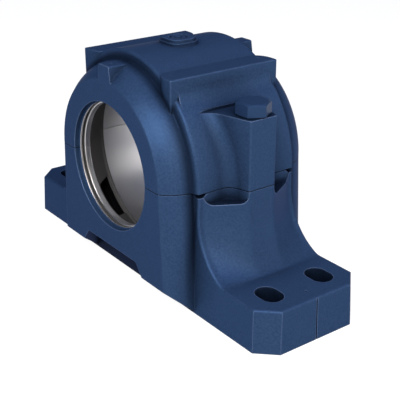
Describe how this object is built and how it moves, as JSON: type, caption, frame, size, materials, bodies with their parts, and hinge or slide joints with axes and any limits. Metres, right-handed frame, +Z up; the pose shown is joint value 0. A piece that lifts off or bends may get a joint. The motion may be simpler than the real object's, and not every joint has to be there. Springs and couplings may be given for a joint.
{
  "type": "split plummer block",
  "caption": "Cast housing split at the shaft axis, with a four-slot foot, bolted cap, bearing seat and seal lands at both ends.",
  "frame": {"origin": "underside of the foot, under the middle of the bore", "axes": "+X along the foot, +Y along the bore, +Z up"},
  "size_m": [0.3478, 0.1412, 0.1956],
  "materials": {
    "housing_paint": "satin blue paint on cast iron, bored surfaces bare",
    "bolt_paint": "satin blue paint on a steel bolt",
    "dowel_steel": "ground steel",
    "plug_steel": "satin blue paint on a steel plug"
  },
  "bodies": {
    "root": {"housing_base": "housing_paint", "housing_cap": "housing_paint", "cap_bolt_right": "bolt_paint", "cap_bolt_left": "bolt_paint", "dowel_right": "dowel_steel", "dowel_left": "dowel_steel", "grease_plug": "plug_steel"}
  },
  "joints": []
}
